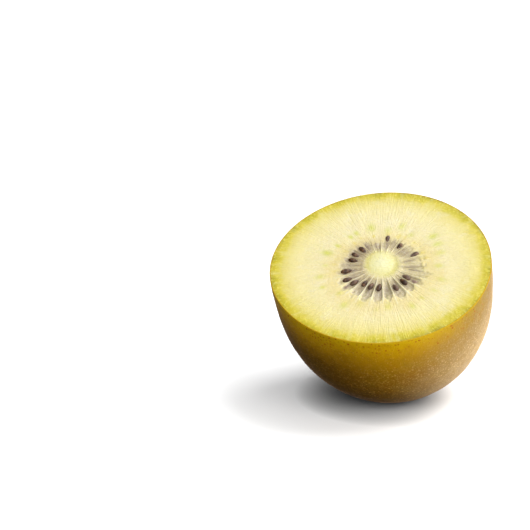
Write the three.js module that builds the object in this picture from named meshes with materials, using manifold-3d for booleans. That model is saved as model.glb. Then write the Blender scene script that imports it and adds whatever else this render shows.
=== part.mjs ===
// Half of a golden kiwi fruit, cut across its middle and lying on its rounded side with the cut face up.
// Millimetres and degrees, +Z up. The origin is the middle of the small flat spot that the fruit rests on.
//
// The fruit is worked out in its own frame: the cut face is the plane z = 0, with the flesh below it and
// the blossom end at the bottom. Bearings go round the cut face from +X towards +Y. It is laid down last.
import * as THREE from "three";
import { mergeVertices, toCreasedNormals } from "three/addons/utils/BufferGeometryUtils.js";
import Module from "manifold-3d";

// The outside of the fruit
const CUT_RADIUS = 26;
const CUT_TO_END = 36; // from the cut face to the blossom end
const END_FULLNESS = 2.77; // 2 makes an ellipsoid, and more makes a blunter end
const END_DRIFT = { length: 1.3, bearing: 18.5 }; // how far the blossom end lies off the fruit's middle
const LOBES = { count: 3, height: 0.19, bearing: -51.5 }; // the fruit isn't quite round
const RIM_ROUND = 0.3; // the softened edge between the skin and the cut face

// How the half lies: it leans back on its side, and a small spot is pressed flat
const LEAN = 27.15; // from level to the cut face
const CUT_CENTRE = new THREE.Vector3(-1.3, -5.2, 34.15); // the middle of the cut face above the resting spot

// The heart of the fruit: a pale core, and locules round it that each hold seeds in jelly
const HEART = new THREE.Vector2(0.3, -0.45); // the point that the locules radiate from
const CORE = { centre: new THREE.Vector2(0.25, 0.2), across: 3.4, along: 4.2, bearing: 108.5, rise: 0.25 };
const LOCULE_COUNT = 24;
const LOCULE_FIRST_BEARING = 4.7;
const LOCULE_BEARING_PLAY = 8.5; // full width of the random draw
const LOCULE_INNER = 4.6; // where the jelly begins, from the heart
const LOCULE_OUTER = { mean: 10.9, swing: 1.9, bearing: -78 }; // where it ends, further out on one side
const LOCULE_DEPTH = { mean: 0.29, swing: 0.16, bearing: -88 }; // how far the jelly has sunk below the cut
const LOCULE_FULLNESS = 4; // a high number gives broad locules between thin walls

// Seeds: one in each locule, except in those that the cut passed above or below
const RANDOM_SEED = 651138886;
const EMPTY_LOCULES = [0, 1, 12, 19, 23];
const PAIRED_LOCULES = [15, 22]; // these hold a second seed, further out
const SEED_ROW = { inner: 6.7, outer: 9.7 };
const SECOND_SEED_STEP = 2.3;
const SEED_SIZE = { length: 2.4, width: 1.35, height: 1.3 };
const SEED_TAPER = 0.45; // how much narrower the end that points at the core is
const SEED_LIFT = -0.2; // a seed's middle against the cut face
const SUNK_SEED_LIFT = -0.7;
const SUNK_SHARE = 0.3;

// The blossom end: a low collar round a shallow pit, with the dried stubs of the flower's styles
const COLLAR = { radius: 3.4, height: 0.35, foot: 5.1 };
const PIT = { radius: 2.3, depth: 0.5 };
const STUBS = { count: 7, ring: 1.35, length: 2.1, root: 0.34, tip: 0.12, splay: 24, sunk: 0.7 };

// Fineness of the solid
const SECTORS = LOCULE_COUNT * 4;
const DOME_STEPS = 12;
const DOME_END_STEP = 1.4; // how long the step at the blossom end is against the others
const FACE_RINGS = [23.5, 19, 14.6, 12.6, 11.2, 9.8, 8.4, 7, 5.8, 5, 4.3, 3, 0]; // closest at the locules
const SEED_SIDES = 7;
const STUB_SIDES = 5;
const FLOOR_BLOCK = 60;
const CREASE = 35; // a sharper edge between two faces shows as an edge
const FLESH_REACH = 1; // every face of the cut lies within this of its plane, and none of the skin's does

const MATERIALS = {
  skin: new THREE.MeshStandardMaterial({ name: "skin", color: 0x967522, roughness: 0.5, metalness: 0 }),
  flesh: new THREE.MeshStandardMaterial({ name: "flesh", color: 0xf3e58c, roughness: 0.3, metalness: 0 }),
  seed: new THREE.MeshStandardMaterial({ name: "seed", color: 0x3c2a33, roughness: 0.2, metalness: 0 }),
  stub: new THREE.MeshStandardMaterial({ name: "stub", color: 0x4a3420, roughness: 0.9, metalness: 0 }),
};

const wasm = await Module();
wasm.setup();

const radians = THREE.MathUtils.degToRad;
const { lerp, smoothstep, euclideanModulo } = THREE.MathUtils;

/** A point on the cut face at a bearing and a distance from a centre. */
function polar(bearing, distance, centre = new THREE.Vector2()) {
  return new THREE.Vector2(Math.cos(radians(bearing)), Math.sin(radians(bearing)))
    .multiplyScalar(distance)
    .add(centre);
}

/** A stream of numbers from 0 to 1 that is the same each time. */
function randomStream(seed) {
  let state = seed;
  return () => {
    state = (Math.imul(state, 1664525) + 1013904223) >>> 0;
    return state / 2 ** 32;
  };
}

/** The locules in order of bearing, each with the place of its seed. */
function drawLocules() {
  const random = randomStream(RANDOM_SEED);
  const pitch = 360 / LOCULE_COUNT;
  return Array.from({ length: LOCULE_COUNT }, (_, k) => ({
    bearing: LOCULE_FIRST_BEARING + k * pitch + (random() - 0.5) * LOCULE_BEARING_PLAY,
    seedRadius: lerp(SEED_ROW.inner, SEED_ROW.outer, random()),
    sunk: random() < SUNK_SHARE,
  }));
}

const LOCULES = drawLocules();

/** The bearing at a count of locules from the first, where 0.5 is the wall after the first locule. */
function bearingAt(count) {
  const turn = Math.floor(count / LOCULE_COUNT);
  const k = Math.floor(euclideanModulo(count, LOCULE_COUNT));
  const next = k + 1 < LOCULE_COUNT ? LOCULES[k + 1].bearing : LOCULES[0].bearing + 360;
  return lerp(LOCULES[k].bearing, next, count - Math.floor(count)) + turn * 360;
}

/** A length that swings round the heart: it is greatest at its own bearing. */
function swungLength({ mean, swing, bearing }, at) {
  return mean + swing * Math.cos(radians(at - bearing));
}

/** How far the jelly has sunk at a count of locules from the first and a distance from the heart. */
function loculeSink(count, distance) {
  const outer = swungLength(LOCULE_OUTER, bearingAt(count));
  const along = (distance - LOCULE_INNER) / (outer - LOCULE_INNER);
  if (along <= 0 || along >= 1) return 0;
  const fromMiddle = 2 * Math.abs(count - Math.round(count));
  const across = 1 - fromMiddle ** LOCULE_FULLNESS;
  return swungLength(LOCULE_DEPTH, bearingAt(count)) * across * Math.sqrt(Math.sin(Math.PI * along));
}

/** How far the core stands out of the cut at a point, or 0 outside the core. */
function coreRise(point) {
  const turned = point.clone().sub(CORE.centre).rotateAround(new THREE.Vector2(), -radians(CORE.bearing));
  const share = Math.hypot(turned.x / CORE.along, turned.y / CORE.across);
  return CORE.rise * Math.sqrt(Math.max(0, 1 - share * share));
}

/** The outline of the skin from the blossom end up to the rim, as radius and depth. */
function domeOutline() {
  return Array.from({ length: DOME_STEPS }, (_, i) => {
    const turn = (Math.PI / 2) * (1 - (i + DOME_END_STEP) / (DOME_STEPS - 1 + DOME_END_STEP));
    return new THREE.Vector2(
      CUT_RADIUS * Math.cos(turn),
      -CUT_TO_END * Math.sin(turn) ** (2 / END_FULLNESS),
    );
  });
}

/** The fruit's whole outline from the pit at the blossom end, over the rim, to the middle of the cut face. */
function fruitOutline() {
  const pit = [
    new THREE.Vector2(0, -CUT_TO_END + PIT.depth),
    new THREE.Vector2(PIT.radius, -CUT_TO_END),
    new THREE.Vector2(COLLAR.radius, -CUT_TO_END - COLLAR.height),
  ];
  const side = domeOutline().filter((p) => p.x > COLLAR.foot && p.y < -RIM_ROUND);
  const rim = [
    new THREE.Vector2(CUT_RADIUS, -RIM_ROUND),
    new THREE.Vector2(CUT_RADIUS - RIM_ROUND, 0),
  ];
  const face = FACE_RINGS.map((radius) => new THREE.Vector2(radius, 0));
  return { outside: [...pit, ...side], face: [...rim, ...face] };
}

/** Where a point of the turned outline lies on the real fruit, at a count of locules from the first. */
function shapePoint({ x: radius, y: height }, count, onFace) {
  const bearing = bearingAt(count);
  const lobe = LOBES.height * Math.cos(radians(LOBES.count * (bearing - LOBES.bearing)));
  const lobed = radius * (1 + lobe / CUT_RADIUS);
  if (!onFace) {
    const drift = polar(END_DRIFT.bearing, (END_DRIFT.length * -height) / CUT_TO_END);
    const point = polar(bearing, lobed, drift);
    return new THREE.Vector3(point.x, point.y, height);
  }
  const heartShare = 1 - smoothstep(radius, LOCULE_OUTER.mean, CUT_RADIUS);
  const point = polar(bearing, lobed, HEART.clone().multiplyScalar(heartShare));
  return new THREE.Vector3(point.x, point.y, height + coreRise(point) - loculeSink(count, radius));
}

/** The body of the fruit: the turned outline with its lobes, core and sunken locules. */
function fruitBody() {
  const { outside, face } = fruitOutline();
  const outline = [...outside, ...face];
  const geometry = new THREE.LatheGeometry(outline, SECTORS);
  const position = geometry.attributes.position;
  for (let i = 0; i < position.count; i += 1) {
    const sector = Math.floor(i / outline.length) % SECTORS;
    const ring = i % outline.length;
    const count = (sector * LOCULE_COUNT) / SECTORS;
    const point = shapePoint(outline[ring], count, ring >= outside.length);
    position.setXYZ(i, point.x, point.y, point.z);
  }
  return geometry;
}

/** One seed: an ovoid that narrows towards the core, lying along its bearing. */
function seedAt(bearing, distance, lift) {
  const geometry = new THREE.SphereGeometry(0.5, SEED_SIDES, SEED_SIDES - 2);
  const position = geometry.attributes.position;
  for (let i = 0; i < position.count; i += 1) {
    const width = 1 - SEED_TAPER * (0.5 - position.getX(i)) ** 2;
    position.setY(i, position.getY(i) * width);
    position.setZ(i, position.getZ(i) * width);
  }
  geometry.scale(SEED_SIZE.length, SEED_SIZE.width, SEED_SIZE.height);
  const middle = polar(bearing, distance, HEART);
  return geometry.rotateZ(radians(bearing)).translate(middle.x, middle.y, lift);
}

/** All the seeds that the cut laid open. */
function seeds() {
  return LOCULES.flatMap(({ bearing, seedRadius, sunk }, k) => {
    if (EMPTY_LOCULES.includes(k)) return [];
    const first = seedAt(bearing, seedRadius, sunk ? SUNK_SEED_LIFT : SEED_LIFT);
    if (!PAIRED_LOCULES.includes(k)) return [first];
    return [first, seedAt(bearing, seedRadius + SECOND_SEED_STEP, SUNK_SEED_LIFT)];
  });
}

/** The dried style stubs that stand out of the pit at the blossom end. */
function styleStubs() {
  const end = polar(END_DRIFT.bearing, END_DRIFT.length);
  return Array.from({ length: STUBS.count }, (_, k) => {
    const bearing = (360 / STUBS.count) * k;
    const foot = polar(bearing, STUBS.ring, end);
    return new THREE.CylinderGeometry(STUBS.root, STUBS.tip, STUBS.length, STUB_SIDES)
      .translate(0, -STUBS.length / 2 + STUBS.sunk, 0)
      .rotateX(Math.PI / 2)
      .rotateY(radians(-STUBS.splay))
      .rotateZ(radians(bearing))
      .translate(foot.x, foot.y, -CUT_TO_END + PIT.depth);
  });
}

/** A closed geometry as a solid. */
function solidOf(geometry) {
  const bare = geometry.clone();
  bare.deleteAttribute("normal");
  bare.deleteAttribute("uv");
  const merged = mergeVertices(bare);
  const vertProperties = Float32Array.from(merged.attributes.position.array);
  const triVerts = Uint32Array.from(merged.index.array);
  return new wasm.Manifold(new wasm.Mesh({ numProp: 3, vertProperties, triVerts })).asOriginal();
}

/** The move from the fruit's own frame to where it lies. */
function layingDown() {
  const lean = new THREE.Matrix4().makeRotationX(radians(LEAN));
  return new THREE.Matrix4().makeTranslation(CUT_CENTRE).multiply(lean);
}

/** The half laid down as one solid, its resting spot cut flat, and what each original solid's surface is. */
function kiwiHalf() {
  const surfaces = new Map();
  const placed = (geometry, surface) => {
    const solid = solidOf(geometry.applyMatrix4(layingDown()));
    surfaces.set(solid.originalID(), surface);
    return solid;
  };
  let solid = placed(fruitBody(), "body");
  for (const seed of seeds()) solid = solid.add(placed(seed, "seed"));
  for (const stub of styleStubs()) solid = solid.add(placed(stub, "stub"));
  const floor = new THREE.BoxGeometry(FLOOR_BLOCK, FLOOR_BLOCK, FLOOR_BLOCK);
  floor.translate(0, 0, -FLOOR_BLOCK / 2);
  return { solid: solid.subtract(solidOf(floor)), surfaces };
}

/** Whether a triangle, given as the three numbers of its corners, is part of the cut face. */
function isFlesh(corners, vertProperties) {
  const middle = new THREE.Vector3();
  for (const corner of corners) middle.add(new THREE.Vector3().fromArray(vertProperties, corner * 3));
  return middle.divideScalar(3).applyMatrix4(layingDown().invert()).z > -FLESH_REACH;
}

/** The half as one mesh, whose groups of faces have the materials of skin, flesh, seeds and stubs. */
function halfMesh() {
  const { solid, surfaces } = kiwiHalf();
  const { vertProperties, triVerts, runIndex, runOriginalID } = solid.getMesh();
  const faces = Object.fromEntries(Object.keys(MATERIALS).map((name) => [name, []]));
  runOriginalID.forEach((id, run) => {
    for (let i = runIndex[run]; i < runIndex[run + 1]; i += 3) {
      const corners = triVerts.subarray(i, i + 3);
      const surface = surfaces.get(id) ?? "body";
      const bodySurface = isFlesh(corners, vertProperties) ? "flesh" : "skin";
      faces[surface === "body" ? bodySurface : surface].push(...corners);
    }
  });
  const geometry = new THREE.BufferGeometry();
  geometry.setAttribute("position", new THREE.BufferAttribute(vertProperties, 3));
  geometry.setIndex(Object.values(faces).flat());
  let start = 0;
  Object.values(faces).forEach((corners, k) => {
    geometry.addGroup(start, corners.length, k);
    start += corners.length;
  });
  return new THREE.Mesh(toCreasedNormals(geometry, radians(CREASE)), Object.values(MATERIALS));
}

const half = halfMesh();
half.name = "kiwi_half";

const fruit = new THREE.Group();
fruit.add(half);

export default fruit;
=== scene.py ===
"""Half of a golden kiwi fruit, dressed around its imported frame.

The half lies on its rounded side with the cut face up. Lengths are in metres, and bearings are in degrees
and go round the cut face from +X. Every shape is worked out in the fruit's own frame, where the cut face
is the plane z = 0 with the flesh below it, and is laid down last.
"""
import logging
import math
from collections.abc import Callable, Iterable, Iterator
from dataclasses import dataclass, field
from enum import Enum
from functools import partial, reduce

import bpy
import numpy as np
from mathutils import Matrix, Vector


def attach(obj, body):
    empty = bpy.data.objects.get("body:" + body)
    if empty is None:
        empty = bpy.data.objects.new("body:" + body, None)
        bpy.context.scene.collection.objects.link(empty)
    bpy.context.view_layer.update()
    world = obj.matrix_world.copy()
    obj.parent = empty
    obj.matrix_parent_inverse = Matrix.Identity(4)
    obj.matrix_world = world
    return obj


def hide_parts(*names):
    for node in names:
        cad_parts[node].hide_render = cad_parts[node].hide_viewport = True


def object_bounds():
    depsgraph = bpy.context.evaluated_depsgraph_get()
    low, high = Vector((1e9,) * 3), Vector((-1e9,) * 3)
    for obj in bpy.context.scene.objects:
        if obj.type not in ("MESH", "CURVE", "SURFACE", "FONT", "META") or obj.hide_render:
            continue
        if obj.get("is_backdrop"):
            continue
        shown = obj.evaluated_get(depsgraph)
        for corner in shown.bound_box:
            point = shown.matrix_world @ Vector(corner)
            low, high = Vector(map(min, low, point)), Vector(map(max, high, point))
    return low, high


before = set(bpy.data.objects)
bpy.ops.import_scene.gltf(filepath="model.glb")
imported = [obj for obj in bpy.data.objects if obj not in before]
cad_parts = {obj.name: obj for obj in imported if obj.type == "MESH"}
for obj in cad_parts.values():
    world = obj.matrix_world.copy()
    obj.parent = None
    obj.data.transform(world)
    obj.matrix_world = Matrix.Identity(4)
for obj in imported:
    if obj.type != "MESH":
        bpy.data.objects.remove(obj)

MM = 0.001
NODE = "kiwi_half"
BODY = "root"

# The rule of the seeded number stream that the solid's own source uses.
STREAM_FACTOR = 1664525
STREAM_STEP = 1013904223
STREAM_RANGE = 2**32

# Where nearly all of a noise texture's values lie, and how specks fade at their edge and differ in strength.
NOISE_SPAN = (0.3, 0.7)
SPECK_EDGE = (1.2, 0.5)
SPECK_STRENGTH = (0.15, 1.0)

# Parts of a tone that goes from 0 to 1.
WHOLE = (0.0, 1.0)
MOST = (0.2, 0.8)
PEAKS = (0.5, 1.0)

Numbers = float | np.ndarray
Span = tuple[float, float]
Place = tuple[float, float, float]
Faces = list[tuple[int, ...]]
Stops = tuple[tuple[float, str], ...]
Socket = bpy.types.NodeSocket
Sockets = bpy.types.bpy_prop_collection
Inputs = dict[int | str, object]

log = logging.getLogger("kiwi_half")


class Slot(Enum):
    """The record's material slots."""

    SKIN = "skin"
    FLESH = "flesh"
    SEED = "seed"
    BLOSSOM_END = "blossom_end"


# ---- Numbers that vary ----


def smoothstep(values: Numbers, low: Numbers, high: Numbers) -> Numbers:
    """Eases from 0 at low to 1 at high."""
    share = np.clip((values - low) / (high - low), 0.0, 1.0)
    return share * share * (3.0 - 2.0 * share)


def band(values: np.ndarray, rise: Span, fall: Span) -> np.ndarray:
    """Eases from 0 to 1 over one span, and back to 0 over another."""
    return smoothstep(values, *rise) * (1.0 - smoothstep(values, *fall))


def hill(values: np.ndarray, middle: float, width: float) -> np.ndarray:
    """A bell curve that is 1 at middle and about a third at width from it."""
    return np.exp(-(((values - middle) / width) ** 2))


def between(span: Span, share: Numbers) -> Numbers:
    """The number that lies a share of the way along a span."""
    return span[0] + (span[1] - span[0]) * share


def facing(bearing: np.ndarray, towards: float) -> np.ndarray:
    """How far bearings point one way: 1 where they do, and 0 where they point away."""
    return 0.5 + 0.5 * np.cos(np.radians(bearing - towards))


def number_stream(seed: int) -> Iterator[float]:
    """Yields the same numbers from 0 to 1 each time.

    Args:
        seed: Where the stream starts.

    Returns:
        The stream, which has no end.
    """
    state = seed
    while True:
        state = (state * STREAM_FACTOR + STREAM_STEP) % STREAM_RANGE
        yield state / STREAM_RANGE


@dataclass(frozen=True)
class SmoothNoise:
    """Seeded noise that changes smoothly through space, over a size, from -height to height."""

    seed: int
    size: float
    height: float
    entries: int = 4096
    strides: tuple[int, int, int] = (73856093, 19349663, 83492791)

    def at(self, points: np.ndarray) -> np.ndarray:
        """The noise at each point.

        Args:
            points: N by 3 places.

        Returns:
            N numbers.
        """
        table = np.random.default_rng(self.seed).random(self.entries) * 2.0 - 1.0
        scaled = points / self.size
        cell = np.floor(scaled).astype(np.int64)
        part = smoothstep(scaled - cell, 0.0, 1.0)
        total = np.zeros(len(points))
        for corner in np.ndindex(2, 2, 2):
            x, y, z = ((cell + np.array(corner)) * np.array(self.strides)).T
            weight = np.where(np.array(corner) == 1, part, 1.0 - part).prod(axis=1)
            total += table[(x ^ y ^ z) % self.entries] * weight
        return self.height * total


# ---- The form of the fruit ----


def polar(bearing: Numbers, distance: Numbers, centre: Span = (0.0, 0.0)) -> np.ndarray:
    """Places on the cut face at bearings in degrees from a centre, as x and y in the last axis."""
    turned = np.radians(bearing)
    return np.stack([distance * np.cos(turned) + centre[0], distance * np.sin(turned) + centre[1]], axis=-1)


def turned_by(bearing: float, x: Numbers, y: Numbers) -> tuple[Numbers, Numbers]:
    """How far places lie along a bearing, and how far to its left."""
    turn = math.radians(bearing)
    return x * math.cos(turn) + y * math.sin(turn), y * math.cos(turn) - x * math.sin(turn)


@dataclass(frozen=True)
class Resting:
    """How the half lies: leaned back on its side over the flat spot at the origin."""

    lean: float = 27.15
    cut_centre: Place = (-1.3 * MM, -5.2 * MM, 34.15 * MM)
    press_round: float = 0.1 * MM

    def matrix(self) -> Matrix:
        """The move from the fruit's own frame to where it lies."""
        return Matrix.Translation(self.cut_centre) @ Matrix.Rotation(math.radians(self.lean), 4, "X")

    def lay(self, points: np.ndarray, floor: Numbers | None = None) -> np.ndarray:
        """Lays points down, pressing flat what would go lower than a floor.

        Args:
            points: N by 3 points in the fruit's own frame.
            floor: The height that nothing goes below, one for each point or one for all, or None.

        Returns:
            N by 3 points as they lie.
        """
        matrix = np.array(self.matrix())
        laid = points @ matrix[:3, :3].T + matrix[:3, 3]
        if floor is not None:
            above = laid[:, 2] - floor
            laid[:, 2] = floor + (above + np.sqrt(above**2 + self.press_round**2)) / 2
        return laid


@dataclass(frozen=True)
class FruitForm:
    """The outside of the fruit: a blunt dome with faint lobes, whose far end lies a little off its middle."""

    cut_radius: float = 26 * MM
    cut_to_end: float = 36 * MM
    end_fullness: float = 2.77
    end_drift: float = 1.3 * MM
    end_bearing: float = 18.5
    lobe_count: int = 3
    lobe_height: float = 0.19 * MM
    lobe_bearing: float = -51.5
    collar_radius: float = 3.2 * MM
    collar_width: float = 1.3 * MM
    collar_height: float = 0.5 * MM
    pit_floor: float = 0.7 * MM
    pit_radius: float = 2.4 * MM
    pit_depth: float = 0.55 * MM

    def lobed(self, radius: Numbers, bearing: np.ndarray) -> np.ndarray:
        """A distance from the fruit's axis, with the lobes added."""
        wave = np.cos(np.radians(self.lobe_count * (bearing - self.lobe_bearing)))
        return radius * (1.0 + self.lobe_height / self.cut_radius * wave)

    def end_relief(self, radius: Numbers) -> Numbers:
        """How far the collar stands out at the blossom end, less the depth of the pit inside it.

        Args:
            radius: Distances from the fruit's axis.

        Returns:
            Heights, outwards.
        """
        collar = self.collar_height * hill(radius, self.collar_radius, self.collar_width)
        pit = self.pit_depth * (1.0 - smoothstep(radius, self.pit_floor, self.pit_radius))
        return collar - pit

    def end_place(self) -> np.ndarray:
        """Where the fruit's far end lies, across its axis."""
        return polar(self.end_bearing, self.end_drift)

    def dome(self, share: Numbers, bearing: np.ndarray, inset: float = 0.0) -> np.ndarray:
        """Points on the dome, or on a like surface inside it.

        Args:
            share: How far along the dome, from 0 at the rim to 1 at the blossom end.
            bearing: Bearings.
            inset: How deep under the skin's surface the points lie.

        Returns:
            Points in the fruit's own frame, in the last axis.
        """
        turn = math.pi / 2 * np.broadcast_to(share, bearing.shape) ** (self.end_fullness / 2)
        radius = (self.cut_radius - inset) * np.cos(turn)
        depth = (self.cut_to_end - inset) * np.sin(turn) ** (2 / self.end_fullness)
        drift = self.end_place() * (depth / self.cut_to_end)[..., None]
        across = polar(bearing, self.lobed(radius, bearing)) + drift
        return np.concatenate([across, -(depth + self.end_relief(radius))[..., None]], axis=-1)


@dataclass(frozen=True)
class Heart:
    """The middle of the cut face: a pale core, and locules of seeds in jelly that radiate round it."""

    centre: Span = (0.3 * MM, -0.45 * MM)
    core_centre: Span = (0.25 * MM, 0.2 * MM)
    core_across: float = 3.4 * MM
    core_along: float = 4.2 * MM
    core_bearing: float = 108.5
    core_rise: float = 0.25 * MM
    core_bluntness: float = 1.2
    locule_count: int = 24
    first_bearing: float = 4.7
    bearing_play: float = 8.5
    inner: float = 4.6 * MM
    outer_mean: float = 10.9 * MM
    outer_swing: float = 1.9 * MM
    outer_bearing: float = -78.0
    outer_play: float = 1.1 * MM
    locule_depth: float = 0.45 * MM
    low_bearing: float = -88.0
    random_seed: int = 651138886
    empty_locules: tuple[int, ...] = (0, 1, 12, 19, 23)
    paired_locules: tuple[int, ...] = (15, 22)
    seed_row: Span = (6.7 * MM, 9.7 * MM)
    second_seed_step: float = 2.3 * MM
    sunk_share: float = 0.3
    bearings: np.ndarray = field(init=False)
    seed_radii: np.ndarray = field(init=False)
    sunk: np.ndarray = field(init=False)

    def __post_init__(self) -> None:
        """Draws each locule's bearing and the place of its seed."""
        stream = number_stream(self.random_seed)
        draws = np.array([[next(stream) for _ in range(3)] for _ in range(self.locule_count)])
        bearings = self.first_bearing + np.arange(self.locule_count) * 360.0 / self.locule_count
        object.__setattr__(self, "bearings", bearings + (draws[:, 0] - 0.5) * self.bearing_play)
        object.__setattr__(self, "seed_radii", between(self.seed_row, draws[:, 1]))
        object.__setattr__(self, "sunk", draws[:, 2] < self.sunk_share)

    def seed_places(self) -> list[tuple[float, float, bool]]:
        """Where the seeds lie.

        Returns:
            Each seed's bearing, its distance from the heart, and whether it lies sunk in the jelly.
        """
        places = []
        for locule, (bearing, radius, sunk) in enumerate(zip(self.bearings, self.seed_radii, self.sunk)):
            if locule in self.empty_locules:
                continue
            places.append((float(bearing), float(radius), bool(sunk)))
            if locule in self.paired_locules:
                places.append((float(bearing), float(radius + self.second_seed_step), True))
        return places

    def locule_count_at(self, bearing: np.ndarray) -> np.ndarray:
        """Turns a bearing into a count of locules from the first, whole in the middle of each.

        Args:
            bearing: Bearings in degrees.

        Returns:
            Counts from 0 up to the number of locules.
        """
        first = self.bearings[0]
        marks = np.append(self.bearings, first + 360.0)
        return np.interp((bearing - first) % 360.0 + first, marks, np.arange(self.locule_count + 1))

    def outer_radius(self, bearing: np.ndarray, locule: np.ndarray) -> np.ndarray:
        """How far from the heart each locule reaches.

        Args:
            bearing: Bearings in degrees.
            locule: The number of the locule at each bearing.

        Returns:
            Distances from the heart.
        """
        play = (np.random.default_rng(self.random_seed).random(self.locule_count) - 0.5) * self.outer_play
        swing = self.outer_swing * np.cos(np.radians(bearing - self.outer_bearing))
        return self.outer_mean + swing + play[locule]


@dataclass(frozen=True)
class VeinRing:
    """A ring of small vein ends round the locules, one beyond each."""

    radius: float
    play: float
    size: float
    random_seed: int
    turn: Span = (-4.0, 4.0)
    size_share: Span = (0.6, 1.4)
    strength: Span = (0.5, 1.0)
    stretch: float = 1.5


@dataclass(frozen=True)
class CutFace:
    """What lies where on the cut face, as masks from 0 to 1 and as relief."""

    form: FruitForm
    heart: Heart
    jelly_width: Span = (0.9, 0.95)
    jelly_edge: Span = (0.7, 1.15)
    jelly_start: Span = (-0.12, 0.12)
    jelly_end: Span = (0.66, 1.08)
    point_share: float = 0.3
    point_bluntness: float = 0.8
    least_width: float = 1e-3
    ragged: SmoothNoise = SmoothNoise(7, 0.7 * MM, 0.8 * MM)
    wall_edge: Span = (0.8, 0.96)
    wall_start: Span = (-0.3, 0.05)
    wall_end: Span = (0.8, 1.25)
    wall_rise: float = 0.05 * MM
    outer_veins: VeinRing = VeinRing(13.9 * MM, 1.7 * MM, 0.7 * MM, 24)
    inner_veins: VeinRing = VeinRing(10.9 * MM, 0.8 * MM, 0.5 * MM, 25)
    fibre_count: int = 120
    fibre_seed: int = 5
    fibre_middle: Span = (5.8 * MM, 8.6 * MM)
    fibre_reach: Span = (0.8 * MM, 2.1 * MM)
    fibre_width: Span = (0.11 * MM, 0.23 * MM)
    fibre_strength: Span = (0.1, 0.7)
    fibre_bluntness: int = 4
    stain_size: Span = (1.9 * MM, 0.85 * MM)
    stain_of_clear_seed: float = 0.75
    sink_share: Span = (0.3, 1.0)
    seed_swell: float = 0.16 * MM
    edge_drop: float = 0.04 * MM
    edge_width: float = 1.2 * MM
    grain: tuple[SmoothNoise, ...] = (
        SmoothNoise(5, 0.5 * MM, 0.02 * MM),
        SmoothNoise(6, 2.6 * MM, 0.05 * MM),
    )

    def around_heart(self, points: np.ndarray) -> tuple[np.ndarray, np.ndarray]:
        """The bearings in degrees of points from the heart, and their distances."""
        offset = points[:, :2] - np.array(self.heart.centre)
        return np.degrees(np.arctan2(offset[:, 1], offset[:, 0])), np.hypot(*offset.T)

    def core_share(self, points: np.ndarray) -> np.ndarray:
        """How far out in the core each point lies: 0 in its middle and 1 on its edge.

        Args:
            points: N by 3 points on the cut face.

        Returns:
            N numbers from 0 up.
        """
        offset = points[:, :2] - np.array(self.heart.core_centre)
        along, across = turned_by(self.heart.core_bearing, *offset.T)
        return np.hypot(along / self.heart.core_along, across / self.heart.core_across)

    def jelly(self, points: np.ndarray) -> tuple[np.ndarray, np.ndarray, np.ndarray]:
        """Where the locules are.

        Args:
            points: N by 3 points on the cut face.

        Returns:
            The jelly's mask, the mask of the walls between locules, and how far out each point lies, from 0
            where the locules begin to 1 where they end.
        """
        bearing, distance = self.around_heart(points)
        count = self.heart.locule_count_at(bearing)
        nearest = np.round(count)
        locule = nearest.astype(int) % self.heart.locule_count
        outer = self.heart.outer_radius(bearing, locule) + self.ragged.at(points)
        along = (distance - self.heart.inner) / (outer - self.heart.inner)
        inside = np.clip(along, 0.0, 1.0)
        narrowing = np.clip((1.0 - inside) / self.point_share, 0.0, 1.0) ** self.point_bluntness
        half_width = between(self.jelly_width, inside) * narrowing
        across = 2.0 * np.abs(count - nearest)
        edge = across / np.maximum(half_width, self.least_width)
        mask = (1.0 - smoothstep(edge, *self.jelly_edge)) * band(along, self.jelly_start, self.jelly_end)
        wall = band(along, self.wall_start, self.wall_end) * smoothstep(across, *self.wall_edge)
        return mask, wall, along

    def spots(self, points: np.ndarray, places: Iterable[Iterable[float]], bluntness: int = 2) -> np.ndarray:
        """The strongest of many soft spots, each drawn out along its ray from the heart.

        Args:
            points: N by 3 points on the cut face.
            places: Each spot's bearing, distance from the heart, length, width and strength.
            bluntness: The power by which its ends fade.

        Returns:
            A mask.
        """
        mask = np.zeros(len(points))
        for bearing, distance, length, width, strength in places:
            offset = points[:, :2] - polar(bearing, distance, self.heart.centre)
            along, across = turned_by(bearing, *offset.T)
            fade = (along / length) ** bluntness + (across / width) ** 2
            mask = np.maximum(mask, strength * np.exp(-fade))
        return mask

    def vein_ends(self, points: np.ndarray, veins: VeinRing) -> np.ndarray:
        """A ring of small vein ends outside the locules.

        Args:
            points: N by 3 points on the cut face.
            veins: The ring.

        Returns:
            A mask.
        """
        draw = np.random.default_rng(veins.random_seed)
        places = []
        for bearing in self.heart.bearings:
            distance = veins.radius + between((-veins.play, veins.play), draw.random())
            turned = bearing + between(veins.turn, draw.random())
            size = veins.size * between(veins.size_share, draw.random())
            strength = between(veins.strength, draw.random())
            places.append((turned, distance, veins.stretch * size, size, strength))
        return self.spots(points, places)

    def fibres(self, points: np.ndarray) -> np.ndarray:
        """The fine dusky threads that run out from the core, beside the seeds.

        Args:
            points: N by 3 points on the cut face.

        Returns:
            A mask.
        """
        draw = np.random.default_rng(self.fibre_seed)
        spans = ((0.0, 360.0), self.fibre_middle, self.fibre_reach, self.fibre_width, self.fibre_strength)
        places = [[between(span, draw.random()) for span in spans] for _ in range(self.fibre_count)]
        return self.spots(points, places, self.fibre_bluntness)

    def seed_stain(self, points: np.ndarray) -> np.ndarray:
        """The dusky tint of the jelly close round each seed.

        Args:
            points: N by 3 points on the cut face.

        Returns:
            A mask.
        """
        places = []
        for bearing, radius, sunk in self.heart.seed_places():
            places.append((bearing, radius, *self.stain_size, 1.0 if sunk else self.stain_of_clear_seed))
        return self.spots(points, places)

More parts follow.
